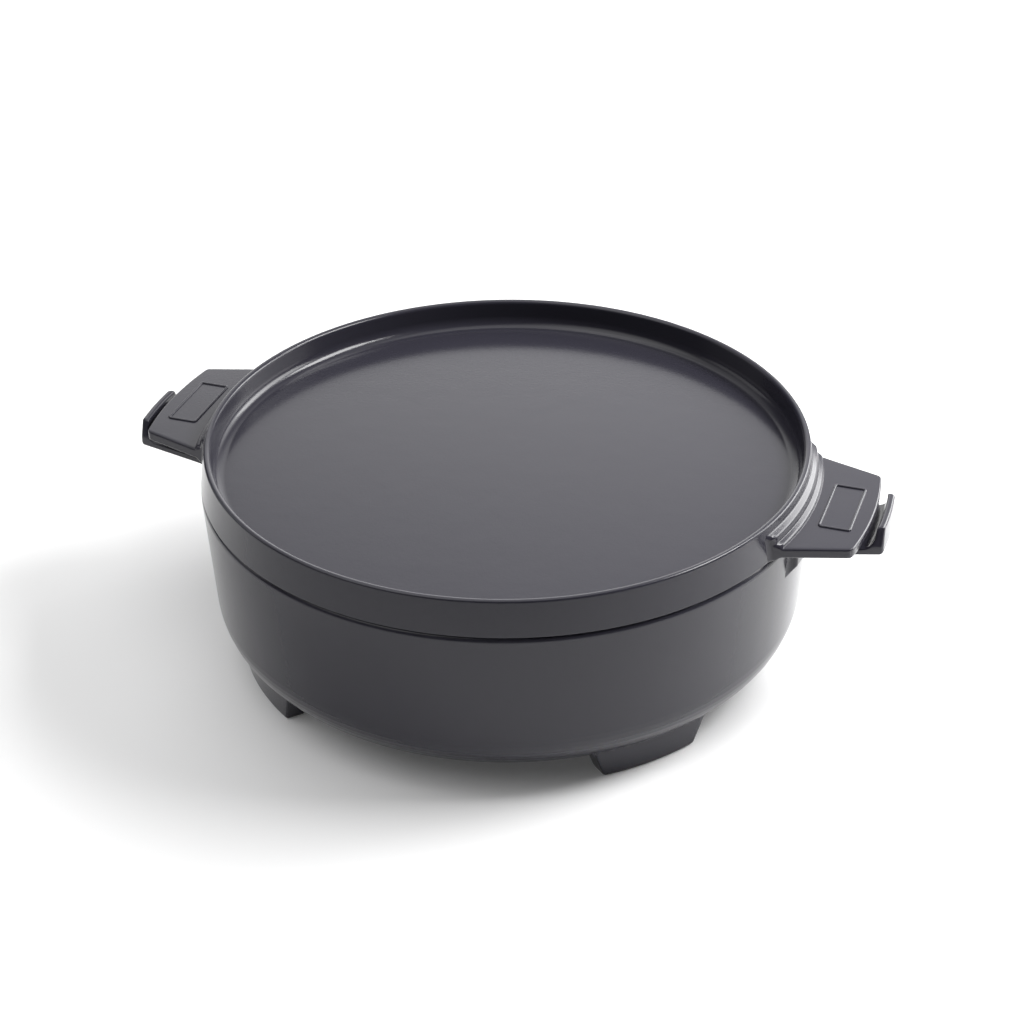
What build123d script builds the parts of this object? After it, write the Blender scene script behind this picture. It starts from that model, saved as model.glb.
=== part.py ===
from build123d import *
import math
import os

# A camp dutch oven in enamelled cast iron: a pot on four feet with two handles, and a lid that is a shallow pan
# with two handles of its own. Lengths are in millimetres and angles in degrees. The handles point along X, +Z is
# up, and the origin is on the ground under the middle of the pot.

# Heights that stack up from the ground
foot_height = 10.0
pot_height = 87.0
lid_rim_height = 18.6

# Pot: a drafted wall, a flat bottom and a large round between them
pot_rim_radius = 155.3
pot_draft = 3.75
pot_wall = 4.8
pot_floor = 5.0
pot_corner_radius = 27.5
pot_rim_outer_round = 3.0
pot_rim_inner_round = 1.1

# Feet: four curved pieces under the bottom's edge, wider at the root than on the ground
foot_angle = 43.4
foot_inset = 10.0
foot_thickness = 10.0
foot_length = 51.4
foot_flare = 7.0
foot_end_slant = 20.0
foot_round = 1.8

# Pot handles: a flat plate that ends in an upturned tab, with a corbel under its root
pot_handle_reach = 40.7
pot_handle_drop = 4.6
pot_handle_thickness = 3.6
pot_handle_root_width = 60.7
pot_handle_taper = 15.4
pot_handle_round = 1.8
pot_handle_corner_radius = 1.5
pot_handle_root_round = 2.0
corbel_depth = 3.6
corbel_height = 6.6
corbel_slant_height = 6.5
corbel_round = 1.5
tab_base_thickness = 5.0
tab_top_thickness = 3.6
tab_height = 10.3
tab_draft = 3.5
tab_lean = 19.5
tab_base_width = 39.4
tab_round = 1.3
tab_root_round = 5.0

# Lid: a shallow pan that flares towards the pot's rim
lid_flare = 2.5
lid_wall = 3.3
lid_rim_round = 1.2
lid_inner_rim_round = 1.9
lid_inner_draft = 1.5
recess_depth = 15.0
recess_round = 6.0
lid_floor = 5.0
lid_overhang = 0.3
lid_seat_round = 0.6

# Ring under the lid that keeps it in the pot's mouth
ring_clearance = 1.2
ring_inset = 0.8
ring_width = 5.5
ring_height = 3.0
ring_round = 1.0

# Lid handles: a tapered plate with a sloping collar and a half-round bead along its root
handle_gap = 3.0
lid_handle_lift = 1.9
lid_handle_thickness = 5.2
lid_handle_root_width = 92.0
lid_handle_taper = 17.1
lid_handle_round = 1.2
lid_handle_corner_radius = 2.0
collar_height = 5.3
collar_reach = 2.4
collar_slope = 30.0
collar_round = 1.2
bead_height = 1.8
bead_reach = 2.9
bead_round = 1.4
lid_root_reach = 4.5
lid_root_round = 2.0

# Frame raised on each lid handle, round a bare field
frame_tip_margin = 7.6
frame_root_margin = 4.2
frame_length = 41.6
frame_line = 1.5
frame_relief = 0.8
frame_corner_radius = 1.6

# How far the loose lid lies turned on the pot, clockwise as seen from above
lid_turn = 2.0

# How far a cutting or trimming shape runs past what it trims, and the half angle that takes in any one handle
overrun = 5.0
sweep_half_angle = 40.0

# Levels and radii that follow from these sizes
pot_bottom = foot_height
seam = pot_bottom + pot_height
lid_top = seam + lid_rim_height
pot_foot_radius = pot_rim_radius - pot_height * math.tan(math.radians(pot_draft))
pot_mouth_radius = pot_rim_radius - pot_wall
pot_handle_end = pot_rim_radius + pot_handle_reach
pot_handle_top = seam - pot_handle_drop
pot_handle_bottom = pot_handle_top - pot_handle_thickness
tab_inner_radius = pot_handle_end - tab_base_thickness
tab_setback = (pot_handle_thickness + tab_height) * math.tan(math.radians(tab_draft))
lid_seat_radius = pot_rim_radius - lid_overhang
lid_rim_radius = lid_seat_radius - lid_flare
lid_step_radius = pot_mouth_radius - ring_clearance
lid_under = lid_top - recess_depth - lid_floor
lid_handle_end = tab_inner_radius - handle_gap
lid_handle_bottom = seam + lid_handle_lift
lid_handle_top = lid_handle_bottom + lid_handle_thickness


def wall_radius(height):
    """Outer radius of the pot's drafted wall at a height above the ground."""
    return pot_rim_radius - (seam - height) * math.tan(math.radians(pot_draft))


def skirt_radius(height):
    """Outer radius of the lid's flared wall at a height above the ground."""
    return lid_rim_radius + (lid_top - height) * lid_flare / lid_rim_height


collar_face = skirt_radius(lid_handle_top) + collar_reach
bead_end = collar_face + bead_reach
frame_width = lid_handle_end - frame_tip_margin - frame_root_margin - bead_end


def rounded(corners, rounds):
    """Flat face through the corners, each one rounded by the radius given for it (0 leaves it sharp)."""
    face = make_face(Polyline(*corners, close=True)).face()
    for corner, radius in zip(corners, rounds):
        if radius > 0:
            vertex = face.vertices().sort_by_distance((*corner, 0))[0]
            face = face.fillet_2d(radius, [vertex])
    return face


def turned(corners, rounds):
    """Solid of revolution about Z from an outline of (radius, height) corners."""
    return revolve(Plane.XZ * rounded(corners, rounds), Axis.Z)


def turned_sector(corners, rounds):
    """The same for the stretch within the sweep angle on each side of +X."""
    profile = Plane.XZ * rounded(corners, rounds)
    return revolve(profile.rotate(Axis.Z, -sweep_half_angle), Axis.Z, 2 * sweep_half_angle)


def wedge(root_radius, root_width, taper, end_radius, corner_radius, low, high):
    """Block over +X that narrows outwards to an arc about Z, root_width wide where it crosses root_radius."""
    slope = math.tan(math.radians(taper))
    inner = root_radius - root_width / 2
    outer = end_radius + overrun
    inner_half = root_width / 2 + (root_radius - inner) * slope
    outer_half = root_width / 2 - (outer - root_radius) * slope
    plan = [(inner, -inner_half), (outer, -outer_half), (outer, outer_half), (inner, inner_half)]
    face = (make_face(Polyline(*plan, close=True)) & Circle(end_radius)).face()
    tips = face.vertices().group_by(Axis.X)[-1]
    return extrude(Plane.XY.offset(low) * face.fillet_2d(corner_radius, tips), high - low)


# Pot

def pot_outer_corners():
    return [(0, pot_bottom), (pot_foot_radius, pot_bottom), (pot_rim_radius, seam), (0, seam)]


def pot_body():
    """The pot as if it were full, to trim what is cast onto it."""
    return turned(pot_outer_corners(), [0, pot_corner_radius, 0, 0])


def pot_shell():
    """Wall and bottom in one, with the rim's two edges rounded."""
    inner_bottom = pot_bottom + pot_floor
    corners = [
        (0, pot_bottom),
        (pot_foot_radius, pot_bottom),
        (pot_rim_radius, seam),
        (pot_mouth_radius, seam),
        (wall_radius(inner_bottom) - pot_wall, inner_bottom),
        (0, inner_bottom),
    ]
    inner_round = pot_corner_radius - pot_floor
    return turned(corners, [0, pot_corner_radius, pot_rim_outer_round, pot_rim_inner_round, inner_round, 0])


def pot_foot():
    """One foot over +X: a ring's section between two slanted ends, cut to the pot's underside."""
    outer = pot_foot_radius - foot_inset
    inner = outer - foot_thickness
    top = foot_height + pot_corner_radius
    section = [
        (inner, 0),
        (outer, 0),
        (outer + top * math.tan(math.radians(foot_flare)), top),
        (inner, top),
    ]
    ring = turned_sector(section, [foot_round, foot_round, 0, 0])
    spread = top * math.tan(math.radians(foot_end_slant))
    half = foot_length / 2
    front = [(-half, 0), (half, 0), (half + spread, top), (-half - spread, top)]
    profile = Plane.YZ.offset(inner - overrun) * rounded(front, [foot_round, foot_round, 0, 0])
    ends = extrude(profile, foot_thickness + foot_inset + 2 * overrun)
    return (ring & ends) - pot_body()


def pot_handle():
    """Plate, tab and corbel over +X, cut to the pot's wall."""
    core = pot_mouth_radius
    root = wall_radius(pot_handle_top)
    corbel_face = wall_radius(pot_handle_bottom) + corbel_depth
    corbel_bottom = pot_handle_bottom - corbel_height
    toe = corbel_bottom - corbel_slant_height
    toe_slope = corbel_slant_height / (corbel_face - wall_radius(toe))
    tab_top = pot_handle_top + tab_height
    tab_crest = pot_handle_end - tab_setback
    section = [
        (core, pot_handle_top + 1.5 * pot_handle_root_round),
        (root, pot_handle_top + 1.5 * pot_handle_root_round),
        (root, pot_handle_top),
        (tab_inner_radius, pot_handle_top),
        (tab_crest - tab_top_thickness, tab_top),
        (tab_crest, tab_top),
        (pot_handle_end, pot_handle_bottom),
        (corbel_face, pot_handle_bottom),
        (corbel_face, corbel_bottom),
        (core, corbel_bottom - (corbel_face - core) * toe_slope),
    ]
    rounds = [
        0,
        0,
        pot_handle_root_round,
        tab_root_round,
        tab_round,
        tab_round,
        pot_handle_round,
        corbel_round,
        corbel_round,
        0,
    ]
    bar = turned_sector(section, rounds)
    low = toe - overrun
    high = tab_top + overrun
    plan = (root, pot_handle_root_width, pot_handle_taper, pot_handle_end, pot_handle_corner_radius)
    body = bar & wedge(*plan, low, high)
    lean = math.tan(math.radians(tab_lean))
    rise = tab_height + overrun
    half = tab_base_width / 2
    for side in (1, -1):
        waste = [
            (side * half, 0),
            (side * (half - rise * lean), rise),
            (side * (half + overrun), rise),
            (side * (half + overrun), 0),
        ]
        profile = Plane.YZ.offset(root + overrun) * Pos(0, pot_handle_top) * rounded(waste, [0] * len(waste))
        body -= extrude(profile, pot_handle_reach)
    return body - pot_body()


# Lid

def lid_body():
    """The lid as if its recess were full, to trim what is cast onto it."""
    corners = [(0, seam), (lid_seat_radius, seam), (lid_rim_radius, lid_top), (0, lid_top)]
    return turned(corners, [0] * len(corners))


def lid_pan():
    """Floor, seat and rim of the lid in one."""
    floor_top = lid_top - recess_depth
    inner_top = lid_rim_radius - lid_wall
    inner_bottom = inner_top - recess_depth * math.tan(math.radians(lid_inner_draft))
    corners = [
        (0, lid_under),
        (lid_step_radius, lid_under),
        (lid_step_radius, seam),
        (lid_seat_radius, seam),
        (lid_rim_radius, lid_top),
        (inner_top, lid_top),
        (inner_bottom, floor_top),
        (0, floor_top),
    ]
    rounds = [0, 0, 0, lid_seat_round, lid_rim_round, lid_inner_rim_round, recess_round, 0]
    return turned(corners, rounds)


def lid_locating_ring():
    """Plain ring under the lid's floor, just inside the pot's mouth."""
    outer = lid_step_radius - ring_inset
    inner = outer - ring_width
    low = lid_under - ring_height
    corners = [(inner, lid_under), (inner, low), (outer, low), (outer, lid_under)]
    return turned(corners, [0, ring_round, ring_round, 0])


def lid_handle():
    """Plate, collar and bead over +X, cut to the lid's flared wall."""
    core = lid_rim_radius - lid_wall
    collar_edge = lid_handle_top + collar_height
    collar_crest = collar_edge + (collar_face - core) * math.tan(math.radians(collar_slope))
    root_end = lid_seat_radius + lid_root_reach
    section = [
        (core, collar_crest),
        (collar_face, collar_edge),
        (collar_face, lid_handle_top + bead_height),
        (bead_end, lid_handle_top + bead_height),
        (bead_end, lid_handle_top),
        (lid_handle_end, lid_handle_top),
        (lid_handle_end, lid_handle_bottom),
        (root_end, lid_handle_bottom),
        (lid_seat_radius + lid_root_round, seam),
        (core, seam),
    ]
    rounds = [0, collar_round, 0, bead_round, 0, lid_handle_round, lid_handle_round, lid_root_round, 0, 0]
    bar = turned_sector(section, rounds)
    low = seam - overrun
    high = lid_top
    plan = (lid_rim_radius, lid_handle_root_width, lid_handle_taper, lid_handle_end, lid_handle_corner_radius)
    return (bar & wedge(*plan, low, high)) - lid_body()


def lid_handle_frame():
    """Raised rectangular line on the handle's plate."""
    middle = lid_handle_end - frame_tip_margin - frame_width / 2
    outer = RectangleRounded(frame_width, frame_length, frame_corner_radius)
    inner_round = frame_corner_radius - frame_line / 2
    inner = RectangleRounded(frame_width - 2 * frame_line, frame_length - 2 * frame_line, inner_round)
    return extrude(Pos(middle, 0, lid_handle_top) * (outer - inner), frame_relief)


# Write every piece

os.makedirs("parts", exist_ok=True)

pieces = {
    "pot_shell": pot_shell(),
    "lid_pan": lid_pan(),
    "lid_locating_ring": lid_locating_ring(),
}
sides = {"right": 0, "left": 180}
for side, turn in sides.items():
    pieces["pot_handle_" + side] = pot_handle().rotate(Axis.Z, turn)
    pieces["lid_handle_" + side] = lid_handle().rotate(Axis.Z, turn - lid_turn)
    pieces["lid_handle_frame_" + side] = lid_handle_frame().rotate(Axis.Z, turn - lid_turn)

feet = {
    "pot_foot_front_right": -foot_angle,
    "pot_foot_back_right": foot_angle,
    "pot_foot_back_left": 180 - foot_angle,
    "pot_foot_front_left": 180 + foot_angle,
}
for name, turn in feet.items():
    pieces[name] = pot_foot().rotate(Axis.Z, turn)

for name, piece in pieces.items():
    export_step(piece, "parts/" + name + ".step")
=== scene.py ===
import math

import bpy
import numpy as np
from mathutils import Matrix


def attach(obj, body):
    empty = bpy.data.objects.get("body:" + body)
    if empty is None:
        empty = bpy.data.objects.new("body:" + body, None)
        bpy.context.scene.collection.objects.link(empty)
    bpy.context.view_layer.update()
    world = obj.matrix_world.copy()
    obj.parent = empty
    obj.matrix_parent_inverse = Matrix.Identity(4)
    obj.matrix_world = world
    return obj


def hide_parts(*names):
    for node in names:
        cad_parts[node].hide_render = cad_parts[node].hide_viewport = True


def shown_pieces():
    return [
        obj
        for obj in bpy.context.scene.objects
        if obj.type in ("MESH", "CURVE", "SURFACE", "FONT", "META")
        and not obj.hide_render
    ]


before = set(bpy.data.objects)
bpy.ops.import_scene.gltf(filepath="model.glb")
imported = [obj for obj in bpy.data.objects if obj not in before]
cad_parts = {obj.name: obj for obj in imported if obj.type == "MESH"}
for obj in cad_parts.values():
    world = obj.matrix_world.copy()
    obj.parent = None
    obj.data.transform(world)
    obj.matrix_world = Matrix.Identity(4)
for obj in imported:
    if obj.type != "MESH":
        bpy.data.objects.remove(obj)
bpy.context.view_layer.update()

# Pot
# The pot is one iron casting with a drafted wall and a flat bottom, and a large round runs between them. It
# is coated inside and out with dark grey enamel, which softens the rim's two edges.

MM = 0.001

POT_BOTTOM = 10.0
SEAM = 97.0
POT_RIM_RADIUS = 155.3
POT_DRAFT = 3.75
POT_WALL = 4.8
POT_FLOOR = 5.0
POT_CORNER_RADIUS = 27.5
POT_RIM_OUTER_ROUND = 3.0
POT_RIM_INNER_ROUND = 1.1


def pot_wall_radius(height):
    """Outer radius of the pot: the rim's radius less the drop below the rim times the draft's tangent."""
    return POT_RIM_RADIUS - (SEAM - height) * math.tan(math.radians(POT_DRAFT))


def rounded_path(corners, rounds, arc_points=14):
    """Outline through the corners, with a radius for each one between the ends. Each arc is centre + radius *
    (unit vectors from one tangent point to the other, turned evenly), and each long straight stretch has a
    point just off either end so that it shades flat."""
    long_stretch, off_end = 2.5, 0.4
    corners = np.array(corners, float)
    pieces = [corners[:1]]
    for here, before, after, radius in zip(corners[1:-1], corners[:-2], corners[2:], rounds):
        if radius == 0:
            pieces.append(here[None])
            continue
        to_before = (before - here) / np.linalg.norm(before - here)
        to_after = (after - here) / np.linalg.norm(after - here)
        half = math.acos(np.dot(to_before, to_after)) / 2
        middle = to_before + to_after
        centre = here + middle / np.linalg.norm(middle) * radius / math.sin(half)
        first = here + to_before * radius / math.tan(half) - centre
        last = here + to_after * radius / math.tan(half) - centre
        turn = math.pi - 2 * half
        share = np.linspace(0, 1, arc_points)[:, None]
        arc = (np.sin((1 - share) * turn) * first + np.sin(share * turn) * last) / math.sin(turn)
        pieces.append(centre + arc)
    pieces.append(corners[-1:])
    path = np.concatenate(pieces)
    gap = np.linalg.norm(np.diff(path, axis=0), axis=1)
    long = np.flatnonzero(gap > long_stretch)
    along = (path[long + 1] - path[long]) / gap[long, None]
    extra = np.stack([path[long] + along * off_end, path[long + 1] - along * off_end], 1).reshape(-1, 2)
    return np.insert(path, np.repeat(long + 1, 2), extra, axis=0)


def cast_mesh(name, points, faces, body, nodes):
    """Mesh from points in millimetres and arrays of faces, smooth all over, that rides on a body for its
    nodes."""
    mesh = bpy.data.meshes.new(name)
    corners = np.concatenate([f.ravel() for f in faces])
    sides = np.concatenate([np.full(len(f), f.shape[1]) for f in faces])
    mesh.vertices.add(len(points))
    mesh.vertices.foreach_set("co", (np.asarray(points) * MM).ravel())
    mesh.loops.add(len(corners))
    mesh.loops.foreach_set("vertex_index", corners)
    mesh.polygons.add(len(sides))
    mesh.polygons.foreach_set("loop_start", np.concatenate([[0], np.cumsum(sides)[:-1]]))
    mesh.polygons.foreach_set("use_smooth", np.ones(len(sides), bool))
    mesh.update(calc_edges=True)
    mesh.validate()
    piece = bpy.data.objects.new(name, mesh)
    bpy.context.scene.collection.objects.link(piece)
    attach(piece, body)
    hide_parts(*nodes)


def turned_mesh(name, path, body, nodes, around=360):
    """Surface of revolution: the point at angle a is (radius cos a, radius sin a, height) for each (radius,
    height) of the path. A path that starts and ends on the axis closes on one point there, any other closes
    on itself."""
    on_axis = path[0, 0] == 0
    rim = path[1:-1] if on_axis else path
    angle = np.arange(around) * 2 * math.pi / around
    x, y = rim[:, :1] * np.cos(angle), rim[:, :1] * np.sin(angle)
    rings = np.stack([x, y, np.repeat(rim[:, 1:], around, 1)], 2)
    index = np.arange(len(rim) * around).reshape(len(rim), around)
    here, there = (index[:-1], index[1:]) if on_axis else (index, np.roll(index, -1, 0))
    quads = np.stack([here, np.roll(here, -1, 1), np.roll(there, -1, 1), there], 2).reshape(-1, 4)
    points, faces = rings.reshape(-1, 3), [quads]
    if on_axis:
        ends = np.array([[0, 0, path[0, 1]], [0, 0, path[-1, 1]]])
        first, last = len(points), len(points) + 1
        points = np.concatenate([points, ends])
        faces.append(np.stack([np.full(around, first), np.roll(index[0], -1), index[0]], 1))
        faces.append(np.stack([np.full(around, last), index[-1], np.roll(index[-1], -1)], 1))
    cast_mesh(name, points, faces, body, nodes)


inner_bottom = POT_BOTTOM + POT_FLOOR
pot_path = rounded_path(
    [
        (0, POT_BOTTOM),
        (pot_wall_radius(POT_BOTTOM), POT_BOTTOM),
        (POT_RIM_RADIUS, SEAM),
        (POT_RIM_RADIUS - POT_WALL, SEAM),
        (pot_wall_radius(inner_bottom) - POT_WALL, inner_bottom),
        (0, inner_bottom),
    ],
    [POT_CORNER_RADIUS, POT_RIM_OUTER_ROUND, POT_RIM_INNER_ROUND, POT_CORNER_RADIUS - POT_FLOOR],
)
turned_mesh("pot", pot_path, "pot", ["pot_shell"])


# Enamel
# Vitreous enamel on cast iron, sprayed on as a slip and fired: glass with a fine orange peel over the
# slightly uneven skin of a sand casting. It gives the eye a dark, semi-matt grey with soft reflections. The
# casting's waves are about 17 mm long and the peel's dimples about 1.4 mm.


def linear(code):
    """Linear colour from an sRGB hex value."""
    share = np.array([int(code[i : i + 2], 16) for i in (1, 3, 5)]) / 255
    return (*np.where(share <= 0.04045, share / 12.92, ((share + 0.055) / 1.055) ** 2.4), 1.0)


def add(tree, kind, settings=None, **links):
    """Adds a node: settings are its own properties, and links are values or sockets for its inputs, by name
    or, as i0, i1 and so on, by place."""
    node = tree.nodes.new(kind)
    for key, value in (settings or {}).items():
        setattr(node, key, value)
    for key, value in links.items():
        by_place = key[0] == "i" and key[1:].isdigit()
        socket = node.inputs[int(key[1:])] if by_place else node.inputs[key.replace("_", " ")]
        if isinstance(value, bpy.types.NodeSocket):
            tree.links.new(value, socket)
        else:
            socket.default_value = value
    return node


enamel = bpy.data.materials.new("semi_matt_vitreous_enamel_on_cast_iron")
enamel.use_nodes = True
tree = enamel.node_tree
tree.nodes.clear()
place = add(tree, "ShaderNodeTexCoord")
casting = add(tree, "ShaderNodeTexNoise", Vector=place.outputs["Object"], Scale=60.0, Detail=2.0)
peel = add(tree, "ShaderNodeTexNoise", Vector=place.outputs["Object"], Scale=700.0, Detail=2.0)
wavy = add(tree, "ShaderNodeBump", Height=casting.outputs["Fac"], Strength=0.05, Distance=0.001)
skin = add(
    tree,
    "ShaderNodeBump",
    Height=peel.outputs["Fac"],
    Strength=0.08,
    Distance=0.0003,
    Normal=wavy.outputs["Normal"],
)
shader = add(
    tree,
    "ShaderNodeBsdfPrincipled",
    Base_Color=linear("#2E2D35"),
    Roughness=0.18,
    IOR=1.5,
    Specular_IOR_Level=0.35,
    Normal=skin.outputs["Normal"],
)
add(tree, "ShaderNodeOutputMaterial", Surface=shader.outputs["BSDF"])


# Feet
# Four short curved walls under the edge of the bottom, cast with the pot. They flare towards the root and
# their ends slant, so that they leave the sand.

FOOT_ANGLE = 43.4
FOOT_OUTER = 139.6
FOOT_THICKNESS = 10.0
FOOT_FLARE = 7.0
FOOT_HALF_LENGTH = 25.7
FOOT_END_SLANT = 20.0
FOOT_ROUND = 1.8
FOOT_END_ROUND = 1.2
FOOT_FRONT_TOP = 22.0
FOOT_BACK_TOP = 13.0
ROOT_FLARE = 1.5
ROOT_SUNK = 0.5
HAIR = 0.1


def even_path(corners, rounds, count=160):
    """The rounded outline through the corners, read off at equal steps along its length."""
    path = rounded_path(corners, rounds, arc_points=40)
    length = np.concatenate([[0], np.cumsum(np.linalg.norm(np.diff(path, axis=0), axis=1))])
    at = np.linspace(0, length[-1], count)
    return np.stack([np.interp(at, length, path[:, 0]), np.interp(at, length, path[:, 1])], 1)


def cast_bar(name, near, far, half_width, edge, turn, body, nodes, stations=41):
    """Bar that sticks out of a round wall. Its section is the closed outline of the near and the far path,
    both from root to tip in (radius, height), which end a hair apart at the tip. It is carried round the
    axis: the point at share s of the width is at y = s * half width and x = sqrt(radius^2 - y^2). Towards
    each side the section is drawn in along a quarter circle of radius edge, which is one number or has one
    for each point of the outline. Each end face is a grid of lines from the near to the far path: at share s
    of a line its radius is s^2 and its height is s of the way."""
    loop = np.concatenate([near, far[::-1]])
    edge = np.broadcast_to(edge, len(loop))[:, None]
    tangent = np.roll(loop, -1, 0) - np.roll(loop, 1, 0)
    outward = np.stack([-tangent[:, 1], tangent[:, 0]], 1) / np.linalg.norm(tangent, axis=1)[:, None]
    bend = np.linspace(0, math.pi / 2, 9)[1:]
    sink = edge * (1 - np.cos(bend))
    back = edge * (1 - np.sin(bend))
    share = np.linspace(-1, 1, stations)
    share = np.concatenate([np.full(len(bend), -1), share, np.full(len(bend), 1)])
    inset = np.concatenate([sink[:, ::-1], np.zeros((len(loop), stations)), sink], 1)
    short = np.concatenate([back[:, ::-1], np.repeat(edge, stations, 1), back], 1)
    spot = loop[:, None] - outward[:, None] * inset[..., None]

    def carry(spot, share, short):
        """Points at a share of the half width less what the edge takes off; x and y settle in a few
        rounds."""
        radius, height = spot[..., 0], spot[..., 1]
        x = radius.copy()
        for _ in range(8):
            y = share * (half_width(x, radius, height) - short)
            x = np.sqrt(radius**2 - y**2)
        return np.stack([x, y, height], 2)

    points = [carry(spot, share, short).reshape(-1, 3)]
    count, across = len(loop), len(share)
    index = np.arange(count * across).reshape(count, across)
    after = np.roll(index, -1, 0)
    faces = [np.stack([index[:, :-1], index[:, 1:], after[:, 1:], after[:, :-1]], 2).reshape(-1, 4)]
    part = np.linspace(0, 1, 12)[1:-1, None] ** [2, 1]
    for side, column in [(-1, 0), (1, -1)]:
        top, low = spot[: len(near), column], spot[len(near) :, column][::-1]
        face = top[:, None] * (1 - part) + low[:, None] * part
        first = sum(len(p) for p in points)
        points.append(carry(face, side, 0).reshape(-1, 3))
        grid = first + np.arange(len(near) * len(part)).reshape(len(near), len(part))
        near_edge, far_edge = index[: len(near), column, None], index[len(near) :, column, None][::-1]
        grid = np.concatenate([near_edge, grid, far_edge], 1)
        quads = np.stack([grid[:-1, :-1], grid[1:, :-1], grid[1:, 1:], grid[:-1, 1:]], 2).reshape(-1, 4)
        faces.append(quads if side < 0 else quads[:, ::-1])
    turn = math.radians(turn)
    spin = np.array([[math.cos(turn), math.sin(turn), 0], [-math.sin(turn), math.cos(turn), 0], [0, 0, 1]])
    cast_mesh(name, np.concatenate(points) @ spin, faces, body, nodes)


def root_flare(gap, radius):
    """How much wider a bar is near its root, by the gap to the wall: (radius - gap)^2 / radius. It goes on a
    little inside the wall, so that the bar meets it at an angle."""
    return (radius - np.clip(gap, -ROOT_SUNK, radius)) ** 2 / radius


def pot_under(radius):
    """Height of the pot's underside at a radius: flat, then the large round."""
    flat = pot_wall_radius(POT_BOTTOM) - POT_CORNER_RADIUS * math.tan(math.radians((90 - POT_DRAFT) / 2))
    out = np.clip(radius - flat, 0, POT_CORNER_RADIUS)
    return POT_BOTTOM + POT_CORNER_RADIUS - np.sqrt(POT_CORNER_RADIUS**2 - out**2)


foot_inner = FOOT_OUTER - FOOT_THICKNESS
foot_middle = FOOT_OUTER - FOOT_THICKNESS / 2
foot_root = FOOT_OUTER + FOOT_FRONT_TOP * math.tan(math.radians(FOOT_FLARE))
foot_front = even_path(
    [(foot_root, FOOT_FRONT_TOP), (FOOT_OUTER, 0), (foot_middle + HAIR, 0)],
    [FOOT_ROUND],
)
foot_back = even_path(
    [(foot_inner, FOOT_BACK_TOP), (foot_inner, 0), (foot_middle - HAIR, 0)],
    [FOOT_ROUND],
)


def foot_half_width(x, radius, height):
    """Half the length on the ground, plus the height times the end's slant, plus the flare under the pot."""
    slant = FOOT_HALF_LENGTH + height * math.tan(math.radians(FOOT_END_SLANT))
    return slant + root_flare(pot_under(radius) - height, ROOT_FLARE)


for name, turn in {
    "front_right": -FOOT_ANGLE,
    "back_right": FOOT_ANGLE,
    "back_left": 180 - FOOT_ANGLE,
    "front_left": 180 + FOOT_ANGLE,
}.items():
    cast_bar(
        "foot_" + name,
        foot_front,
        foot_back,
        foot_half_width,
        FOOT_END_ROUND,
        turn,
        "pot",
        ["pot_foot_" + name],
        stations=25,
    )


# Pot handles
# A flat tapered plate on each side, cast with the pot, with a corbel under its root and an upturned tab at
# its end that keeps the lid's handle from sliding off.

POT_HANDLE_END = 196.0
POT_HANDLE_TOP = 92.4
POT_HANDLE_BOTTOM = 88.8
POT_HANDLE_ROOT_HALF = 30.35
POT_HANDLE_TAPER = 15.4
TAB_INNER = 191.0
TAB_TOP = 102.7
TAB_TOP_INNER = 191.55
TAB_TOP_OUTER = 195.15
TAB_LEAN = 19.5
CORBEL_FACE = 158.4
CORBEL_BOTTOM = 82.2
CORBEL_TOE = 75.7
POT_HANDLE_SUNK = 3.5
POT_HANDLE_ROOT_RISE = 2.3
POT_HANDLE_CORNER = 1.5
POT_HANDLE_SIDE_ROUND = 0.9
TIP_FROM = 180.0

handle_root = pot_wall_radius(POT_HANDLE_TOP)
handle_sunk = handle_root - POT_HANDLE_SUNK
corbel_slope = (CORBEL_BOTTOM - CORBEL_TOE) / (CORBEL_FACE - pot_wall_radius(CORBEL_TOE))
tab_crest = (TAB_TOP_INNER + TAB_TOP_OUTER) / 2
pot_handle_near = even_path(
    [
        (handle_sunk, CORBEL_BOTTOM + 3),
        (handle_sunk, POT_HANDLE_TOP + POT_HANDLE_ROOT_RISE),
        (handle_root - HAIR / 2, POT_HANDLE_TOP + POT_HANDLE_ROOT_RISE),
        (handle_root, POT_HANDLE_TOP),
        (TAB_INNER, POT_HANDLE_TOP),
        (TAB_TOP_INNER, TAB_TOP),
        (tab_crest - HAIR / 2, TAB_TOP),
    ],
    [0, 0, 2.0, 5.0, 1.4],
    count=220,
)
pot_handle_far = even_path(
    [
        (handle_sunk, CORBEL_BOTTOM - (CORBEL_FACE - handle_sunk) * corbel_slope),
        (CORBEL_FACE, CORBEL_BOTTOM),
        (CORBEL_FACE, POT_HANDLE_BOTTOM),
        (POT_HANDLE_END, POT_HANDLE_BOTTOM),
        (TAB_TOP_OUTER, TAB_TOP),
        (tab_crest + HAIR / 2, TAB_TOP),
    ],
    [1.5, 1.5, 1.9, 1.4],
    count=220,
)


def corner_cut(radius, end, corner):
    """How far a side draws in towards the bar's end: a quarter circle of the corner's radius in plan."""
    out = np.clip(radius - (end - corner), 0, corner)
    return corner - np.sqrt(corner**2 - out**2)


def pot_handle_half_width(x, radius, height):
    """The plate's tapered side, less the tab's lean times its height, plus the flare at the wall. The lean
    sets in softly: its height is s * log(1 + e^(h / s)), for the height h over the plate's skin and a
    softness s."""
    skin_height, soft = POT_HANDLE_TOP + 1, 0.4
    plate = POT_HANDLE_ROOT_HALF - (x - handle_root) * math.tan(math.radians(POT_HANDLE_TAPER))
    above = np.where(radius > TIP_FROM, np.logaddexp(0, (height - skin_height) / soft) * soft, 0)
    side = plate - above * math.tan(math.radians(TAB_LEAN))
    flare = root_flare(radius - pot_wall_radius(height), ROOT_FLARE)
    return side - corner_cut(radius, POT_HANDLE_END, POT_HANDLE_CORNER) + flare


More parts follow.
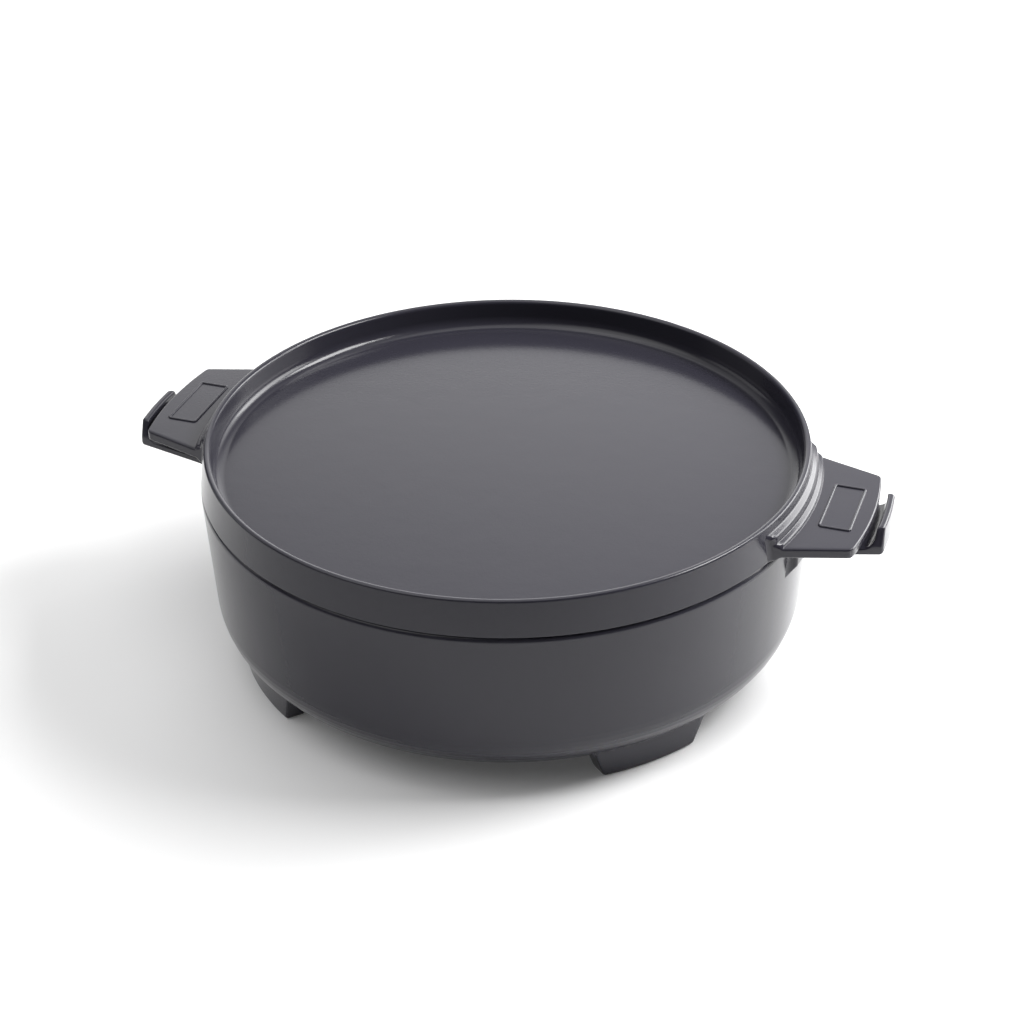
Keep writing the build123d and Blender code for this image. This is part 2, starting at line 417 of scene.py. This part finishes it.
for name, turn in {"right": 0, "left": 180}.items():
    cast_bar(
        "pot_handle_side_" + name,
        pot_handle_near,
        pot_handle_far,
        pot_handle_half_width,
        POT_HANDLE_SIDE_ROUND,
        turn,
        "pot",
        ["pot_handle_" + name],
    )


# Lid
# The lid is a shallow pan, one casting: a flat floor for embers, a rim round it that flares down to the seat,
# and a plain ring below that keeps it in the pot's mouth. All edges are rounded and enamelled.

LID_TOP = 115.6
LID_RIM_RADIUS = 152.5
LID_SEAT_RADIUS = 155.0
LID_WALL = 3.3
LID_FLOOR_TOP = 100.6
LID_UNDER = 95.6
LID_INNER_DRAFT = 1.5
LID_STEP_RADIUS = 149.3
LID_TURN = 2.0
RING_INNER = 143.0
RING_OUTER = 148.5
RING_BOTTOM = 92.6
RING_ROUND = 1.0

lid_inner_top = LID_RIM_RADIUS - LID_WALL
lid_inner_bottom = lid_inner_top - (LID_TOP - LID_FLOOR_TOP) * math.tan(math.radians(LID_INNER_DRAFT))
lid_path = rounded_path(
    [
        (0, LID_UNDER),
        (LID_STEP_RADIUS, LID_UNDER),
        (LID_STEP_RADIUS, SEAM),
        (LID_SEAT_RADIUS, SEAM),
        (LID_RIM_RADIUS, LID_TOP),
        (lid_inner_top, LID_TOP),
        (lid_inner_bottom, LID_FLOOR_TOP),
        (0, LID_FLOOR_TOP),
    ],
    [0.5, 0.4, 0.6, 1.2, 1.9, 6.0],
)
turned_mesh("lid", lid_path, "lid", ["lid_pan"])

ring_top = LID_UNDER + 1
ring_start = (RING_INNER + 2, ring_top)
ring_path = rounded_path(
    [
        ring_start,
        (RING_INNER, ring_top),
        (RING_INNER, RING_BOTTOM),
        (RING_OUTER, RING_BOTTOM),
        (RING_OUTER, ring_top),
        ring_start,
    ],
    [0, RING_ROUND, RING_ROUND, 0],
)[:-1]
turned_mesh("lid_ring", ring_path, "lid", ["lid_locating_ring"])


# Lid handles
# A tapered plate on each side, cast with the lid. A sloping collar and a half-round bead run along its root,
# and the enamel has softened their edges.

LID_HANDLE_END = 188.0
LID_HANDLE_TOP = 104.1
LID_HANDLE_BOTTOM = 98.9
LID_HANDLE_ROOT_HALF = 46.0
LID_HANDLE_TAPER = 17.1
COLLAR_ROOT = 111.2
COLLAR_TOP = 109.6
COLLAR_EDGE = 156.1
COLLAR_FOOT = 156.6
BEAD_ROOT = 106.4
BEAD_TOP = 105.4
BEAD_EDGE = 158.9
BEAD_FOOT = 159.4
LID_HANDLE_SUNK = 2.4
LID_HANDLE_ROOT_RISE = 2.4
LID_HANDLE_CORNER = 2.2
LID_HANDLE_SIDE_ROUND = 1.1
COLLAR_EXTRA_ROUND = 0.6
COLLAR_CORNER = 2.0
BEAD_CORNER = 2.4


def skirt_radius(height):
    """Outer radius of the lid's flared wall, in a straight line from its rim to its seat."""
    return LID_RIM_RADIUS + (LID_TOP - height) * (LID_SEAT_RADIUS - LID_RIM_RADIUS) / (LID_TOP - SEAM)


handle_middle = (LID_HANDLE_TOP + LID_HANDLE_BOTTOM) / 2
root_top = COLLAR_ROOT + LID_HANDLE_ROOT_RISE
lid_handle_near = even_path(
    [
        (skirt_radius(COLLAR_ROOT) - LID_HANDLE_SUNK, root_top),
        (skirt_radius(root_top) - 0.3, root_top),
        (skirt_radius(COLLAR_ROOT) + 0.03, COLLAR_ROOT),
        (COLLAR_EDGE, COLLAR_TOP),
        (COLLAR_FOOT, BEAD_ROOT),
        (BEAD_EDGE, BEAD_TOP),
        (BEAD_FOOT, LID_HANDLE_TOP),
        (LID_HANDLE_END, LID_HANDLE_TOP),
        (LID_HANDLE_END, handle_middle + HAIR / 2),
    ],
    [0, 1.6, 1.7, 0.5, 1.7, 0.3, 1.2],
    count=360,
)
seat_clear = SEAM + 0.3
handle_under = rounded_path(
    [(150, seat_clear), (157.2, seat_clear), (159, LID_HANDLE_BOTTOM), (LID_HANDLE_END, LID_HANDLE_BOTTOM)],
    [1.2, 2.0],
)
lid_handle_far = lid_handle_near.copy()
lid_handle_far[:, 1] = np.where(
    lid_handle_near[:, 0] < TIP_FROM,
    np.interp(lid_handle_near[:, 0], handle_under[:, 0], handle_under[:, 1]),
    2 * handle_middle - lid_handle_near[:, 1],
)


def lid_handle_half_width(x, radius, height):
    """The plate's tapered side, rounded at the tip's corners and at the ends of the bead and of the collar,
    plus the flare at the lid's wall. The cut at an end grows from nothing just above the foot of the bead or
    collar."""
    plate = LID_HANDLE_ROOT_HALF - (x - LID_RIM_RADIUS) * math.tan(math.radians(LID_HANDLE_TAPER))
    on_bead = np.clip((height - LID_HANDLE_TOP - 0.3) / 0.9, 0, 1)
    on_collar = np.clip((height - BEAD_ROOT - 0.5) / 1.5, 0, 1)
    bead_end = corner_cut(np.minimum(radius, BEAD_FOOT), BEAD_FOOT, BEAD_CORNER) * on_bead
    collar_end = corner_cut(np.minimum(radius, COLLAR_FOOT), COLLAR_FOOT, COLLAR_CORNER) * on_collar
    ends = np.where(radius < COLLAR_FOOT, collar_end, np.where(radius < BEAD_FOOT, bead_end, 0))
    flare = root_flare(radius - skirt_radius(height), ROOT_FLARE)
    return plate - ends - corner_cut(radius, LID_HANDLE_END, LID_HANDLE_CORNER) + flare


above_plate = np.clip((lid_handle_near[:, 1] - LID_HANDLE_TOP) / 1.3, 0, 1)
near_round = LID_HANDLE_SIDE_ROUND + COLLAR_EXTRA_ROUND * above_plate
far_round = np.full(len(lid_handle_far), LID_HANDLE_SIDE_ROUND)
for name, turn in {"right": 0, "left": 180}.items():
    cast_bar(
        "lid_handle_side_" + name,
        lid_handle_near,
        lid_handle_far,
        lid_handle_half_width,
        np.concatenate([near_round, far_round]),
        turn - LID_TURN,
        "lid",
        ["lid_handle_" + name],
        stations=61,
    )


# Frames
# A low rectangular line cast on each lid handle's plate, round a bare field, with the enamel rounding its
# edges.

FRAME_MIDDLE = 172.2
FRAME_HALF_WIDTH = 8.2
FRAME_HALF_LENGTH = 20.8
FRAME_LINE = 1.5
FRAME_RELIEF = 0.8
FRAME_CORNER = 1.2
FRAME_SUNK = 0.1


def frame_mesh(name, turn, nodes):
    """Round-backed line along a rounded rectangle: across the line, height is relief * sqrt(1 - offset^2)."""
    corner_x = FRAME_HALF_WIDTH - FRAME_LINE / 2 - FRAME_CORNER
    corner_y = FRAME_HALF_LENGTH - FRAME_LINE / 2 - FRAME_CORNER
    angle = np.linspace(0, math.pi / 2, 9) + np.arange(4)[:, None] * math.pi / 2
    away = np.stack([np.cos(angle), np.sin(angle)], 2)
    centre = np.array([(1, 1), (-1, 1), (-1, -1), (1, -1)]) * (corner_x, corner_y)
    line = (centre[:, None] + away * FRAME_CORNER).reshape(-1, 2)
    away = away.reshape(-1, 2)
    bend = np.linspace(-math.pi / 2, math.pi / 2, 15)
    across = np.sin(bend)
    lift = LID_HANDLE_TOP - FRAME_SUNK + (FRAME_RELIEF + FRAME_SUNK) * np.cos(bend)
    plan = line[:, None] + away[:, None] * (across[:, None] * FRAME_LINE / 2)
    x, y = plan[..., 0] + FRAME_MIDDLE, plan[..., 1]
    cos, sin = math.cos(math.radians(turn)), math.sin(math.radians(turn))
    points = np.stack([x * cos - y * sin, x * sin + y * cos, np.broadcast_to(lift, x.shape)], 2)
    index = np.arange(x.size).reshape(x.shape)
    after = np.roll(index, -1, 0)
    top = np.stack([index[:, :-1], index[:, 1:], after[:, 1:], after[:, :-1]], 2).reshape(-1, 4)
    base = np.stack([index[:, -1], index[:, 0], after[:, 0], after[:, -1]], 1)
    cast_mesh(name, points.reshape(-1, 3), [top, base], "lid", nodes)


for name, turn in {"right": 0, "left": 180}.items():
    frame_mesh("lid_frame_" + name, turn - LID_TURN, ["lid_handle_frame_" + name])

# All the pieces wear the one enamel.
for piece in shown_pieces():
    piece.data.materials.clear()
    piece.data.materials.append(enamel)


# Studio
# White paper under a room with soft bright patches, and three rectangular lamps: the key high on the right, a
# lower one behind it and a weak one on the left. In front of the picture the paper's colour darkens as
# painted shade, which the enamel mirrors as a darker room, and far from the oven the camera sees nothing but
# white.

VIEW_TURN = 16.92
VIEW_ELEVATION = 31.59
FLOOR_HALF = 4.0
PAPER_WHITE = 0.9
# Painted shade: the paper's colour falls to this in front of the pot, and the enamel mirrors it as a darker
# room.
PAPER_PAINTED_SHADE = 0.1
PAINTED_SHADE_AHEAD = (0.45, 0.85)
PAPER_GLOW = 0.057
BLANK_BEYOND = (0.42, 0.8)
PATCH_EDGE = 0.848  # the cosine of 32 degrees, which is how far a patch reaches from its middle
LAMP_AIM = 0.1


def way_to(bearing, elevation):
    """Unit vector: the bearing is from straight behind the pot towards the right of the main view."""
    turn, rise = math.radians(bearing - VIEW_TURN), math.radians(elevation)
    return np.array([math.sin(turn) * math.cos(rise), math.cos(turn) * math.cos(rise), math.sin(rise)])


def combine(tree, operation, first, second):
    """Result of a maths node for two values or sockets."""
    return add(tree, "ShaderNodeMath", {"operation": operation}, i0=first, i1=second).outputs[0]


def along_way(tree, vector, way):
    """Length of a vector socket along a unit vector, their dot product."""
    return add(tree, "ShaderNodeVectorMath", {"operation": "DOT_PRODUCT"}, i0=vector, i1=way).outputs["Value"]


def ramp(tree, value, start, end, low, high):
    """Smooth step of a socket's value: low up to start, and high from end on."""
    node = add(
        tree,
        "ShaderNodeMapRange",
        {"interpolation_type": "SMOOTHSTEP"},
        Value=value,
        From_Min=start,
        From_Max=end,
        To_Min=low,
        To_Max=high,
    )
    return node.outputs["Result"]


floor = bpy.data.objects.new("floor", bpy.data.meshes.new("floor"))
corners = [(x * FLOOR_HALF, y * FLOOR_HALF, 0) for x, y in ((-1, -1), (1, -1), (1, 1), (-1, 1))]
floor.data.from_pydata(corners, [], [(0, 1, 2, 3)])
bpy.context.scene.collection.objects.link(floor)
paper = bpy.data.materials.new("matt_white_studio_paper")
paper.use_nodes = True
tree = paper.node_tree
tree.nodes.clear()
spot = add(tree, "ShaderNodeTexCoord")
ahead = along_way(tree, spot.outputs["Object"], way_to(180, 0))
# The paper's colour darkens ahead of the pot, towards the camera: painted shade, which the enamel mirrors as
# a darker room in front.
shade = ramp(tree, ahead, *PAINTED_SHADE_AHEAD, PAPER_WHITE, PAPER_PAINTED_SHADE)
matt = add(tree, "ShaderNodeBsdfDiffuse", Color=shade)
ray = add(tree, "ShaderNodeLightPath")
seen = combine(tree, "MAXIMUM", ray.outputs["Is Camera Ray"], ray.outputs["Is Glossy Ray"])
seen = combine(tree, "MAXIMUM", seen, ray.outputs["Is Transmission Ray"])
glow = add(tree, "ShaderNodeEmission", Color=shade, Strength=combine(tree, "MULTIPLY", seen, PAPER_GLOW))
paper_seen = add(tree, "ShaderNodeAddShader", i0=matt.outputs["BSDF"], i1=glow.outputs[0])
away = add(tree, "ShaderNodeVectorMath", {"operation": "LENGTH"}, i0=spot.outputs["Object"])
blank = ramp(tree, away.outputs["Value"], *BLANK_BEYOND, 0.0, 1.0)
blank = combine(tree, "MULTIPLY", blank, ray.outputs["Is Camera Ray"])
blank = add(tree, "ShaderNodeEmission", Color=(1, 1, 1, 1), Strength=blank)
backdrop = add(tree, "ShaderNodeAddShader", i0=paper_seen.outputs[0], i1=blank.outputs[0])
add(tree, "ShaderNodeOutputMaterial", Surface=backdrop.outputs[0])
floor.data.materials.append(paper)

world = bpy.data.worlds.new("soft_room")
bpy.context.scene.world = world
world.use_nodes = True
tree = world.node_tree
tree.nodes.clear()
sky = add(tree, "ShaderNodeTexCoord")
level = 0.0
for bearing, elevation, strength in [
    (0, 8, 2.6),
    (0, 55, 0.7),
    (0, 85, 1.56),
    (30, 30, 0.3),
    (60, 8, 3.4),
    (240, 55, 1.8),
    (300, 55, 0.9),
]:
    towards = along_way(tree, sky.outputs["Generated"], way_to(bearing, elevation))
    level = combine(tree, "ADD", ramp(tree, towards, PATCH_EDGE, 1.0, 0.0, strength), level)
ray = add(tree, "ShaderNodeLightPath")
level = combine(tree, "MAXIMUM", level, ray.outputs["Is Camera Ray"])
room = add(tree, "ShaderNodeBackground", Color=(1, 1, 1, 1), Strength=level)
add(tree, "ShaderNodeOutputWorld", Surface=room.outputs[0])


def soft_lamp(name, bearing, elevation, distance, width, height, radiance):
    """Rectangular lamp that faces the lid's middle. Watts = radiance * pi * area, so that its face has that
    radiance."""
    data = bpy.data.lights.new(name, "AREA")
    data.shape = "RECTANGLE"
    data.size, data.size_y = width, height
    data.energy = radiance * math.pi * width * height
    lamp = bpy.data.objects.new(name, data)
    bpy.context.scene.collection.objects.link(lamp)
    lamp.visible_camera = False
    lamp.location = way_to(bearing, elevation) * distance + (0, 0, LAMP_AIM)
    lamp.rotation_euler = (math.radians(90 - elevation), 0, math.pi - math.radians(bearing - VIEW_TURN))


soft_lamp("key", 84, 49, 1.0, 0.6, 0.3, 20.0)
soft_lamp("low_side", 64, 23, 0.8, 0.6, 0.3, 8.5)
soft_lamp("left", 290, 20, 1.0, 0.6, 0.4, 0.95)


# Camera
# A long lens from the front, a little to the right of square on, looking down on the lid. The rim's centre
# lies off it to the right, down and forward by so many of the rim's radii.

PICTURE_PIXELS = 1024
FOCAL_PIXELS = 2283.9
SENSOR = 36.0
ROLL = -0.45
RIM_CENTRE = np.array([0, 0, 0.1152])
RIM_OFFSET = np.array([-0.0136, -0.2589, 7.5563]) * (LID_RIM_RADIUS * MM)

turn, rise, roll = (math.radians(a) for a in (VIEW_TURN, VIEW_ELEVATION, ROLL))
right = np.array([math.cos(turn), math.sin(turn), 0])
away = np.array([-math.sin(turn), math.cos(turn), 0])
up = np.array([0, 0, 1])
forward = away * math.cos(rise) - up * math.sin(rise)
down = -away * math.sin(rise) - up * math.cos(rise)
spot = RIM_CENTRE - (right * RIM_OFFSET[0] + down * RIM_OFFSET[1] + forward * RIM_OFFSET[2])
tilted_right = right * math.cos(roll) - down * math.sin(roll)
tilted_down = right * math.sin(roll) + down * math.cos(roll)
lens = bpy.data.cameras.new("camera")
lens.sensor_width = SENSOR
lens.lens = FOCAL_PIXELS / PICTURE_PIXELS * SENSOR
camera = bpy.data.objects.new("camera", lens)
bpy.context.scene.collection.objects.link(camera)
stand = Matrix.Identity(4)
for column, direction in enumerate((tilted_right, -tilted_down, -forward, spot)):
    for row in range(3):
        stand[row][column] = direction[row]
camera.matrix_world = stand
bpy.context.scene.camera = camera
bpy.context.scene.view_settings.view_transform = "Standard"
